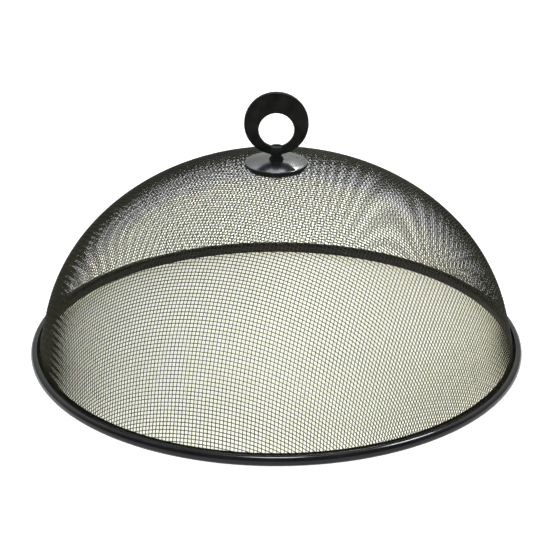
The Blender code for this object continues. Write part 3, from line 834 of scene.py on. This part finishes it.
class FOODCOVER_OT_rim(bpy.types.Operator):
    """Roll the rim's strip round its core wire, with the groove that takes the cloth"""

    bl_idname = "foodcover.rim"
    bl_label = "Rolled rim"

    def execute(self, context):
        sizes = context.scene.foodcover_rim
        half = sizes.sheet / 2
        top, wall = sizes.roll_height - half, RIM_HIGH.x - half
        flange = RIM_HIGH.x - sizes.roll_width + half
        dip, outer, inner = sizes.flange_bend, sizes.outer_bend, sizes.inner_bend
        path = np.vstack([
            [(flange, top - 2 * dip)],
            arc((flange + dip, top - dip), dip, 180, 90, BEND_STEPS),
            arc((wall - sizes.top_bend, top - sizes.top_bend), sizes.top_bend, 90, 0, BEND_STEPS),
            arc((wall - outer, half + outer), outer, 0, -90, BEND_STEPS),
            arc((sizes.lip_radius + inner, half + inner), inner, -90, -180, BEND_STEPS),
            [(sizes.lip_radius, sizes.sheet + inner + sizes.lip_rise - half)],
        ])
        material = enamel("gloss black enamel", sizes.enamel[:], specular=0.26, dust_tint=sizes.dust[:],
                          smooth=0.10, dull=0.20, amount=0.12)
        mesh = lathe("rolled_rim", rounded_sheet(path, sizes.sheet), RIM_STEPS)
        add_piece(mesh, material, "cover", ("rim_hoop",))
        steel = plated("drawn core wire", sizes.core[:], grain=1500.0, smooth=0.3, dull=0.45, depth=4e-6)
        core = frame["nodes"]["rim_core_wire"]
        core.data.materials.clear()
        core.data.materials.append(steel)
        return {"FINISHED"}


def saucer(sizes, radius, crown, skirt):
    """Outline of a pressed saucer, its crown up and its skirt's lower end at height zero.

    The crown's height is crown times (1 - (r / shoulder)^2) above the skirt.
    """
    half = sizes.sheet / 2
    edge = radius - half
    shoulder = edge - sizes.edge_bend
    reach = np.linspace(sizes.hole_radius, shoulder, CROWN_STEPS + 1)[:-1]
    height = skirt - half + crown * (1 - (reach / shoulder) ** 2)
    bend = arc((shoulder, skirt - half - sizes.edge_bend), sizes.edge_bend, 90, 0, BEND_STEPS)
    path = np.vstack([np.stack([reach, height], axis=-1), bend, [(edge, half)]])
    return rounded_sheet(path, sizes.sheet)


class FOODCOVER_OT_discs(bpy.types.Operator):
    """Press the two saucers that clamp the cloth between them"""

    bl_idname = "foodcover.discs"
    bl_label = "Clamping discs"

    def execute(self, context):
        sizes, rim = context.scene.foodcover_discs, context.scene.foodcover_rim
        finish = {"dust_tint": rim.dust[:], "smooth": 0.26, "dull": 0.34, "amount": 0.12}
        material = enamel("polished black enamel", sizes.enamel[:], specular=0.5, **finish)
        shader = material.node_tree.nodes["Principled BSDF"]
        shader.inputs["Coat Weight"].default_value = sizes.coat
        shader.inputs["Coat Roughness"].default_value = sizes.coat_blur
        # painted shade on the turned-down edge: the same enamel, reflecting less
        skirt = enamel("dull black skirt", sizes.enamel[:], specular=sizes.skirt_gloss, **finish)
        top = saucer(sizes, TOP_DISC_HIGH.x, sizes.top_crown, sizes.top_skirt)
        mesh = lathe("clamp_disc_top", top + (0, TOP_DISC_LOW.z), DISC_STEPS)
        add_piece(mesh, material, "cover", ("top_disc",))
        self.painted_shade_skirt(mesh, skirt, sizes.skirt_slope)
        inner = saucer(sizes, INNER_DISC_HIGH.x, sizes.inner_crown, sizes.inner_skirt)
        mesh = lathe("clamp_disc_inner", inner * (1, -1) + (0, INNER_DISC_HIGH.z), DISC_STEPS)
        add_piece(mesh, material, "cover", ("inner_disc",))
        self.painted_shade_skirt(mesh, skirt, sizes.skirt_slope)
        return {"FINISHED"}

    # painted shade: faces that stand less upright get the copy of the enamel that reflects less
    @staticmethod
    def painted_shade_skirt(mesh, material, slope):
        """Gives a second material to the faces whose normals stand less upright than a share."""
        normals = np.empty(3 * len(mesh.polygons), np.float32)
        mesh.polygons.foreach_get("normal", normals)
        skirt = np.abs(normals.reshape(-1, 3)[:, 2]) < slope
        mesh.materials.append(material)
        mesh.polygons.foreach_set("material_index", skirt.astype(np.int32))
        mesh.update()


def ring_sizes(sizes):
    """Radius of the ring, radius of its hole, and the hole's drop under the ring's middle."""
    radius = (RING_HIGH.z - RING_LOW.z) / 2
    hole = radius * sizes.hole_share
    return radius, hole, radius - hole - sizes.low_wall


class FOODCOVER_OT_post(bpy.types.Operator):
    """Turn the post with its fork, and press in the cross pin"""

    bl_idname = "foodcover.post"
    bl_label = "Post and pin"

    def execute(self, context):
        sizes = context.scene.foodcover_handle
        base = POST_HIGH.z - self.post_height(sizes)
        foot, waist = sizes.foot / 2, sizes.waist / 2
        head = PIN_HIGH.y + sizes.seat_gap
        top = POST_HIGH.z
        neck = base + sizes.neck_height
        section = np.vstack([
            [(0, base - sizes.seat_gap), (foot, base - sizes.seat_gap)],
            flare((foot, base + sizes.foot_rim), (waist, neck)),
            flare((waist, neck), (head, neck + sizes.flare))[1:],
            arc((head - sizes.top_round, top - sizes.top_round), sizes.top_round, 0, 90, BEND_STEPS),
            [(0, top)],
        ])
        body = lathe("fork_post", section, POST_STEPS, closed=False)
        half_slot = RING_HIGH.y + sizes.fork_play
        past = 2 * head
        slot = box_mesh("slot", (-past, -half_slot, base + sizes.below_ring), (past, half_slot, top + past))
        pin_z = (PIN_LOW.z + PIN_HIGH.z) / 2
        pin = (PIN_HIGH.z - PIN_LOW.z) / 2
        bore_end = sizes.front_wall - head
        wide = pin * BORE_SHARE
        bore = rod_mesh("bore", np.array([(0, bore_end), (wide, bore_end), (wide, past), (0, past)]), pin_z)
        post = shaped(body, (slot, bore), sizes.corner)
        post.name = "fork_post"
        paint = satin("satin black post", sizes.post_paint[:], specular=0.10, cloud=1.8, grain=1800.0,
                      smooth=0.20, dull=0.30, depth=3e-6)
        add_piece(post, paint, "handle", ("handle_post",))
        round_end = PIN_ROUND_SHARE * pin
        profile = np.vstack([
            [(0, PIN_LOW.y)],
            arc((pin - round_end, PIN_LOW.y + round_end), round_end, -90, 0, ROUND_STEPS),
            arc((pin - round_end, PIN_HIGH.y - round_end), round_end, 0, 90, ROUND_STEPS),
            [(0, PIN_HIGH.y)],
        ])
        steel = plated("ground pin steel", sizes.steel[:], grain=2200.0, smooth=0.22, dull=0.36, depth=3e-6)
        add_piece(rod_mesh("cross_pin", profile, pin_z), steel, "handle", ("ring_pin",))
        return {"FINISHED"}

    @staticmethod
    def post_height(sizes):
        """From the foot to the top of the fork, which stands a little above the ring's wall."""
        return POST_HIGH.z - RING_LOW.z + sizes.seat_gap + sizes.below_ring


class FOODCOVER_OT_ring(bpy.types.Operator):
    """Make the flat ring, its hole set low and its edges rounded"""

    bl_idname = "foodcover.ring"
    bl_label = "Ring handle"

    def execute(self, context):
        sizes = context.scene.foodcover_handle
        radius, hole, drop = ring_sizes(sizes)
        middle_z = (RING_LOW.z + RING_HIGH.z) / 2
        half = (RING_HIGH.y - RING_LOW.y) / 2
        turn = np.linspace(0, 2 * np.pi, RING_STEPS, endpoint=False)
        outward = np.stack([np.cos(turn), 0 * turn, np.sin(turn)], axis=-1)
        inner = hole * outward + (0, 0, middle_z - drop)
        outer = radius * outward + (0, 0, middle_z)
        width = np.linalg.norm(outer - inner, axis=-1)[:, None]
        into, over = sizes.inner_round, sizes.outer_round
        corners = (
            ((over, half - over), over, 90, 0, -1), ((over, over - half), over, 0, -90, -1),
            ((into, into - half), into, -90, -180, 1), ((into, half - into), into, 180, 90, 1),
        )
        reach, depth = [], []
        for (near, height), size, start, end, side in corners:
            bend = arc((0, height), size, start, end, ROUND_STEPS)
            from_inner = near + bend[:, 0] if side > 0 else width - near + bend[:, 0]
            reach.append(np.broadcast_to(from_inner, (RING_STEPS, ROUND_STEPS + 1)))
            depth.append(bend[:, 1])
        reach, depth = np.concatenate(reach, axis=1), np.concatenate(depth)
        across = (outer - inner) / width
        points = inner[:, None] + across[:, None] * reach[..., None]
        points = points + depth[None, :, None] * np.array((0, 1, 0))
        mesh = closed_mesh("ring_grip", points, grid_quads(RING_STEPS, len(depth), True, True))
        pin_z = (PIN_LOW.z + PIN_HIGH.z) / 2
        bore, past = (PIN_HIGH.z - PIN_LOW.z) / 2 * BORE_SHARE, 2 * half
        through = np.array([(0, -past), (bore, -past), (bore, past), (0, past)])
        mesh = shaped(mesh, (rod_mesh("cross_hole", through, pin_z),))
        mesh.name = "ring_grip"
        paint = satin("satin black ring", sizes.ring_paint[:], specular=0.06, cloud=7.0, grain=1300.0,
                      smooth=0.36, dull=0.50, depth=8e-6)
        add_piece(mesh, paint, "handle", ("handle_ring",))
        return {"FINISHED"}


class FOODCOVER_OT_fixing(bpy.types.Operator):
    """Cut the stud's thread, and make its split washer and hex nut"""

    bl_idname = "foodcover.fixing"
    bl_label = "Stud, washer and nut"

    def execute(self, context):
        sizes = context.scene.foodcover_fixing
        handle = context.scene.foodcover_handle
        zinc = plated("bright zinc plate", sizes.zinc[:], grain=1600.0, smooth=0.26, dull=0.42, depth=5e-6)
        paint = satin("satin black stud", handle.post_paint[:], specular=0.10, cloud=1.8, grain=1800.0,
                      smooth=0.2, dull=0.32, depth=3e-6)
        add_piece(self.stud(sizes, handle), paint, "handle", ("handle_post",))
        add_piece(self.washer(sizes), zinc, "handle", ("lock_washer",))
        add_piece(self.nut(sizes), zinc, "handle", ("fixing_nut",))
        return {"FINISHED"}

    @staticmethod
    def stud(sizes, handle):
        """Radius = outside less depth times a clipped saw of (z / pitch - t / turn), chamfered."""
        foot = POST_HIGH.z - FOODCOVER_OT_post.post_height(handle) - handle.seat_gap
        tall = foot - POST_LOW.z
        rows = int(tall / sizes.thread_pitch * ROWS_PER_THREAD)
        height = np.linspace(0, tall, rows + 1)[None, :]
        turn = np.linspace(0, 2 * np.pi, THREAD_STEPS, endpoint=False)[:, None]
        phase = height / sizes.thread_pitch - turn / (2 * np.pi)
        saw = np.abs(2 * (phase - np.floor(phase)) - 1)
        saw = np.clip(saw * (1 + 2 * THREAD_FLAT_SHARE) - THREAD_FLAT_SHARE, 0, 1)
        outside = sizes.stud_diameter / 2
        radius = np.minimum(outside - sizes.thread_depth * saw, outside - sizes.chamfer + height)
        tip = 0 * turn
        radius = np.hstack([tip, radius, tip])
        height = np.broadcast_to(height, (THREAD_STEPS, rows + 1))
        height = np.hstack([tip, height, tip + tall]) + POST_LOW.z
        points = np.stack([radius * np.cos(turn), radius * np.sin(turn), height], axis=-1)
        quads = grid_quads(*radius.shape, True, False)
        return closed_mesh("threaded_stud", points, quads, THREAD_SHARP)

    @staticmethod
    def washer(sizes):
        """A rounded square section turned about Z, all but the split, with flat ends."""
        outer = WASHER_HIGH.y
        inner = outer - sizes.washer_width
        low, high, edge = WASHER_LOW.z, WASHER_HIGH.z, sizes.washer_round
        section = np.vstack([
            arc((outer - edge, high - edge), edge, 90, 0, WASHER_ROUND_STEPS),
            arc((outer - edge, low + edge), edge, 0, -90, WASHER_ROUND_STEPS),
            arc((inner + edge, low + edge), edge, -90, -180, WASHER_ROUND_STEPS),
            arc((inner + edge, high - edge), edge, 180, 90, WASHER_ROUND_STEPS),
        ])
        turn = np.linspace(0, 2 * np.pi - sizes.washer_split, WASHER_STEPS + 1)
        middle = np.broadcast_to(section.mean(axis=0), (1, len(section), 2))
        sections = np.concatenate([middle, np.broadcast_to(section, (len(turn), *section.shape)), middle])
        turn = np.concatenate([turn[:1], turn, turn[-1:]])[:, None]
        radius, height = sections[..., 0], sections[..., 1]
        points = np.stack([radius * np.cos(turn), radius * np.sin(turn), height], axis=-1)
        quads = grid_quads(len(turn), len(section), False, True)
        return closed_mesh("split_washer", points, quads, WASHER_SHARP)

    @staticmethod
    def nut(sizes):
        """Half the flats over cos of the angle from the nearest flat, its corners coned off."""
        wide, deep = NUT_HIGH.x - NUT_LOW.x, NUT_HIGH.y - NUT_LOW.y
        flat = min(wide, deep) / 2
        turn = np.linspace(0, 2 * np.pi, NUT_STEPS, endpoint=False)
        sixth = np.pi / 3
        shift = 0 if wide < deep else sixth / 2
        from_flat = (turn + shift + sixth / 2) % sixth - sixth / 2
        side = flat / np.cos(from_flat)
        face = np.full_like(turn, flat * sizes.face_share)
        cone = (side - face) * math.tan(math.radians(NUT_CONE))
        bore = np.full_like(turn, sizes.stud_diameter / 2)
        mouth, cut = bore + sizes.bore_chamfer, sizes.bore_chamfer
        low, high = NUT_LOW.z, NUT_HIGH.z
        flat_low, flat_high = np.full_like(turn, low), np.full_like(turn, high)
        radius = np.stack([mouth, face, side, side, face, mouth, bore, bore], axis=-1)
        height = np.stack([flat_low, flat_low, low + cone, high - cone, flat_high, flat_high,
                           flat_high - cut, flat_low + cut], axis=-1)
        turn = turn[:, None]
        points = np.stack([radius * np.cos(turn), radius * np.sin(turn), height], axis=-1)
        return closed_mesh("hex_nut", points, grid_quads(*radius.shape, True, True), NUT_SHARP)


# The studio

FLOOR_REACH = 6.0
CLIP_START, CLIP_END = 0.01, 50
SEEN_BY = ("Is Camera Ray", "Is Glossy Ray", "Is Transmission Ray")

# Where one tint of the floor or the wall turns into another
BACK_EDGE_SHARE = 0.03  # half the soft edge of the floor behind, as a share of its reach
BACK_START = 0.01  # half the soft edge where it starts, beside the middle
WALL_LOW, WALL_HIGH = 0.35, 0.62  # upright share of a direction
ROOM_END, WALL_START = -0.25, 0.35  # backward share of a direction

# Soft lights, each with the direction in which it stands and how far it stands from what it lights
DISC_SPOT = (0.011, -0.017, 0.141)  # on the top disc, in front of the post and to its right
SOFTBOX_WAY = (0.09, 0.82, 0.56)
BACK_BOX_WAY = (-0.05, 0.78, 0.62)
TOP_BOX_WAY = (0.0, 0.10, 0.99)
RIGHT_BOX_WAY = (0.46, 0.27, 0.84)
DISC_BOX_DISTANCE = 1.2
RIM_BOX_DISTANCE = 1.5
SOFTBOX_SIZE = 0.09
BACK_BOX_WIDTH, BACK_BOX_HEIGHT = 0.60, 0.35
RIM_BOX_TINT = (0.92, 0.95, 1.0)
BACK_BOX_TINT = (0.76, 0.80, 1.0)
WHITE = (1.0, 1.0, 1.0)


def add_lamp(name, kind, place, aim, energy, **fields):
    """A lamp at a place, turned towards a point."""
    lamp = bpy.data.lights.new(name, kind)
    lamp.energy = energy
    for field, value in fields.items():
        setattr(lamp, field, value)
    thing = bpy.data.objects.new(name, lamp)
    thing.location = place
    thing.rotation_euler = (Vector(aim) - Vector(place)).to_track_quat("-Z", "Y").to_euler()
    bpy.context.scene.collection.objects.link(thing)
    return thing


def add_box(name, way, lit, distance, energy, **fields):
    """A soft light that stands in a direction, at a distance from the point that it lights."""
    place = lit + Vector(way).normalized() * distance
    return add_lamp(name, "AREA", place, lit, energy, **fields)


def any_of(tree, path, names):
    """One where a ray is any of the named kinds."""
    total = path.outputs[names[0]]
    for name in names[1:]:
        total = reckoned(tree, "MAXIMUM", total, path.outputs[name])
    return total


class FOODCOVER_OT_studio(bpy.types.Operator):
    """Lay the pale floor, and place the lamps and the camera"""

    bl_idname = "foodcover.studio"
    bl_label = "Studio"

    def execute(self, context):
        sizes = context.scene.foodcover_studio
        aim = Vector((-sizes.aim_left, 0, sizes.aim_height))
        back = Vector((0, -math.cos(sizes.elevation), math.sin(sizes.elevation)))
        place = aim + back * sizes.distance
        self.floor(sizes)
        self.world(context.scene, sizes)
        self.lamps(sizes, place, aim)
        camera = bpy.data.cameras.new("camera")
        camera.lens = sizes.lens
        camera.clip_start, camera.clip_end = CLIP_START, CLIP_END
        thing = bpy.data.objects.new("camera", camera)
        thing.location = place
        thing.rotation_euler = (aim - place).to_track_quat("-Z", "Y").to_euler()
        context.scene.collection.objects.link(thing)
        context.scene.camera = thing
        context.scene.view_settings.view_transform = "Standard"
        return {"FINISHED"}

    @staticmethod
    def floor(sizes):
        """A pale floor, with a glow of its own where it is looked at, that differs by zone.

        The zones are a disc under the cloth, half an ellipse of floor behind, and the rest. The disc glows
        less, as painted shade of the cloth, and is painted lighter towards the right. The floor behind,
        where it is seen through the cloth, glows warmer, as painted warm light. The rest glows evenly.
        """
        far = FLOOR_REACH
        points = np.array([(-far, -far, 0), (far, -far, 0), (far, far, 0), (-far, far, 0)])
        mesh = mesh_from("floor", points, np.array([[0, 1, 2, 3]]))
        material = bpy.data.materials.new("pale floor")
        material.use_nodes = True
        tree = material.node_tree
        tree.nodes.clear()
        path = tree.nodes.new("ShaderNodeLightPath")
        plain = node(tree, "ShaderNodeBsdfDiffuse", {"Color": (*sizes.floor, 1)})
        seen = any_of(tree, path, SEEN_BY)
        place = tree.nodes.new("ShaderNodeTexCoord").outputs["Object"]
        shade_end = sizes.shade_radius + sizes.shade_edge
        outside = ranged(tree, length_of(tree, place), sizes.shade_radius, shade_end)
        reach = {0: place, 1: (sizes.back_width, sizes.back_depth, 1.0)}
        in_reaches = node(tree, "ShaderNodeVectorMath", reach, operation="DIVIDE").outputs[0]
        near, past = 1 - BACK_EDGE_SHARE, 1 + BACK_EDGE_SHARE
        in_reach = ranged(tree, length_of(tree, in_reaches), near, past, to_low=1.0, to_high=0.0)
        behind = ranged(tree, part_of(tree, place, "Y"), -BACK_START, BACK_START)
        behind = reckoned(tree, "MULTIPLY", in_reach, behind)
        rightward = ranged(tree, part_of(tree, place, "X"), -sizes.shade_radius, sizes.shade_radius)
        # painted shade under the cloth, lighter towards the right as painted light
        shade = mixed(tree, rightward, sizes.shade_left[:], sizes.shade_right[:])
        # painted warm light on the floor behind, where it is seen through the cloth
        open_floor = mixed(tree, behind, sizes.glow[:], sizes.back_painted_light[:])
        tint = mixed(tree, outside, shade, open_floor)
        glow = node(tree, "ShaderNodeEmission", {"Color": tint, "Strength": seen})
        both = node(tree, "ShaderNodeAddShader", {0: plain.outputs[0], 1: glow.outputs[0]})
        node(tree, "ShaderNodeOutputMaterial", {"Surface": both.outputs[0]})
        mesh.materials.append(material)
        thing = bpy.data.objects.new("floor", mesh)
        bpy.context.scene.collection.objects.link(thing)

    @staticmethod
    def world(scene, sizes):
        """A bright wall behind the object, brighter higher up, and a dark room in front.

        Where the camera looks past the floor, it sees plain white.
        """
        world = bpy.data.worlds.new("studio air")
        scene.world = world
        world.use_nodes = True
        tree = world.node_tree
        tree.nodes.clear()
        way = tree.nodes.new("ShaderNodeTexCoord").outputs["Generated"]
        rise = ranged(tree, part_of(tree, way, "Z"), WALL_LOW, WALL_HIGH)
        tint = mixed(tree, rise, sizes.low_tint[:], sizes.high_tint[:])
        wall = ranged(tree, rise, 0.0, 1.0, to_low=sizes.low_sky, to_high=sizes.high_sky)
        ahead = ranged(tree, part_of(tree, way, "Y"), ROOM_END, WALL_START)
        light = reckoned(tree, "MAXIMUM", reckoned(tree, "MULTIPLY", wall, ahead), sizes.room)
        seen = tree.nodes.new("ShaderNodeLightPath").outputs["Is Camera Ray"]
        tint = mixed(tree, seen, tint, WHITE)
        light = reckoned(tree, "MAXIMUM", light, seen)
        air = node(tree, "ShaderNodeBackground", {"Color": tint, "Strength": light})
        node(tree, "ShaderNodeOutputWorld", {"Surface": air.outputs[0]})

    @staticmethod
    def lamps(sizes, place, aim):
        """A key lamp at the camera, and soft lights behind and above.

        The key's light grows with distance instead of falling off, and isn't seen in gloss. The
        top box and the right box are seen in gloss alone.
        """
        key = add_lamp("key lamp", "POINT", place, aim, 1.0, shadow_soft_size=sizes.key_size)
        key.data.use_nodes = True
        tree = key.data.node_tree
        reach = tree.nodes.new("ShaderNodeLightPath").outputs["Ray Length"]
        even = node(tree, "ShaderNodeLightFalloff", {"Strength": sizes.key}).outputs["Constant"]
        tree.links.new(reckoned(tree, "MULTIPLY", even, reach), tree.nodes["Emission"].inputs["Strength"])
        key.visible_glossy = False
        spot = Vector(DISC_SPOT)
        add_box("softbox", SOFTBOX_WAY, spot, DISC_BOX_DISTANCE, sizes.box_power,
                shape="SQUARE", size=SOFTBOX_SIZE)
        front = Vector((0.0, RIM_LOW.y, RIM_HIGH.z))
        boxes = (("top box", TOP_BOX_WAY, sizes.top_power), ("right box", RIGHT_BOX_WAY, sizes.right_power))
        for name, way, power in boxes:
            box = add_box(name, way, front, RIM_BOX_DISTANCE, power,
                          shape="SQUARE", size=sizes.top_size, color=RIM_BOX_TINT)
            box.visible_diffuse = False
        add_box("back box", BACK_BOX_WAY, spot, DISC_BOX_DISTANCE, sizes.back_power, shape="RECTANGLE",
                size=BACK_BOX_WIDTH, size_y=BACK_BOX_HEIGHT, color=BACK_BOX_TINT)


class FOODCOVER_PT_pieces(bpy.types.Panel):
    """The cover's pieces and its studio, in the order in which they are made"""

    bl_label = "Food Cover"
    bl_idname = "FOODCOVER_PT_pieces"
    bl_space_type = "VIEW_3D"
    bl_region_type = "UI"
    bl_category = "Food Cover"

    def draw(self, context):
        """A button for every operator"""
        for operator in OPERATORS:
            self.layout.operator(operator.bl_idname)


SETTINGS = {
    "foodcover_cloth": FOODCOVER_PG_cloth,
    "foodcover_rim": FOODCOVER_PG_rim,
    "foodcover_discs": FOODCOVER_PG_discs,
    "foodcover_handle": FOODCOVER_PG_handle,
    "foodcover_fixing": FOODCOVER_PG_fixing,
    "foodcover_studio": FOODCOVER_PG_studio,
}
OPERATORS = (
    FOODCOVER_OT_studio,
    FOODCOVER_OT_cloth,
    FOODCOVER_OT_rim,
    FOODCOVER_OT_discs,
    FOODCOVER_OT_post,
    FOODCOVER_OT_ring,
    FOODCOVER_OT_fixing,
)


def register():
    """Adds the classes to Blender, and the settings to its scenes."""
    for each in (*SETTINGS.values(), *OPERATORS, FOODCOVER_PT_pieces):
        bpy.utils.register_class(each)
    for name, group in SETTINGS.items():
        setattr(bpy.types.Scene, name, bpy.props.PointerProperty(type=group))


def unregister():
    """Takes them away again."""
    for name in SETTINGS:
        delattr(bpy.types.Scene, name)
    for each in (FOODCOVER_PT_pieces, *reversed(OPERATORS), *reversed(SETTINGS.values())):
        bpy.utils.unregister_class(each)


def main():
    """Makes the studio and every piece."""
    register()
    bpy.ops.foodcover.studio()
    bpy.ops.foodcover.cloth()
    bpy.ops.foodcover.rim()
    bpy.ops.foodcover.discs()
    bpy.ops.foodcover.post()
    bpy.ops.foodcover.ring()
    bpy.ops.foodcover.fixing()


if __name__ == "__main__":
    main()
